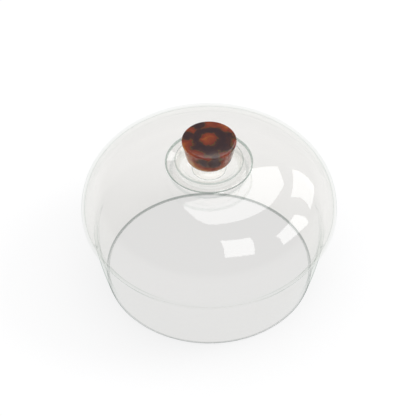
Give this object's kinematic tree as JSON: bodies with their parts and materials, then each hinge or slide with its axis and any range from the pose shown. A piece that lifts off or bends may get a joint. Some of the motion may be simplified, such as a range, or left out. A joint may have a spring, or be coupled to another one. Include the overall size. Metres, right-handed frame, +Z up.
{
  "type": "glass cloche",
  "caption": "Wide clear glass cloche with an open foot, bulged shoulder and flared neck, closed by a lift-off glass stopper with a tapered resin knob.",
  "frame": {"origin": "centre of the ring that the bell stands on, at table level", "axes": "+Z up along the axis that every piece is turned about"},
  "size_m": [0.2428, 0.2428, 0.1719],
  "materials": {
    "bell_glass": "clear blown glass, fire-polished lip, ground foot rim",
    "stopper_glass": "clear pressed glass",
    "foot_glass": "clear solid glass, polished",
    "knob_resin": "cast tortoiseshell resin, polished"
  },
  "bodies": {
    "bell": {"glass_bell": "bell_glass"},
    "stopper": {"vent_stopper": "stopper_glass", "knob_foot": "foot_glass", "resin_knob": "knob_resin"}
  },
  "joints": [
    {"name": "stopper_lift", "type": "slide", "parent": "bell", "child": "stopper", "axis": [0, 0, 1], "range_m": [0, 0.05]}
  ]
}
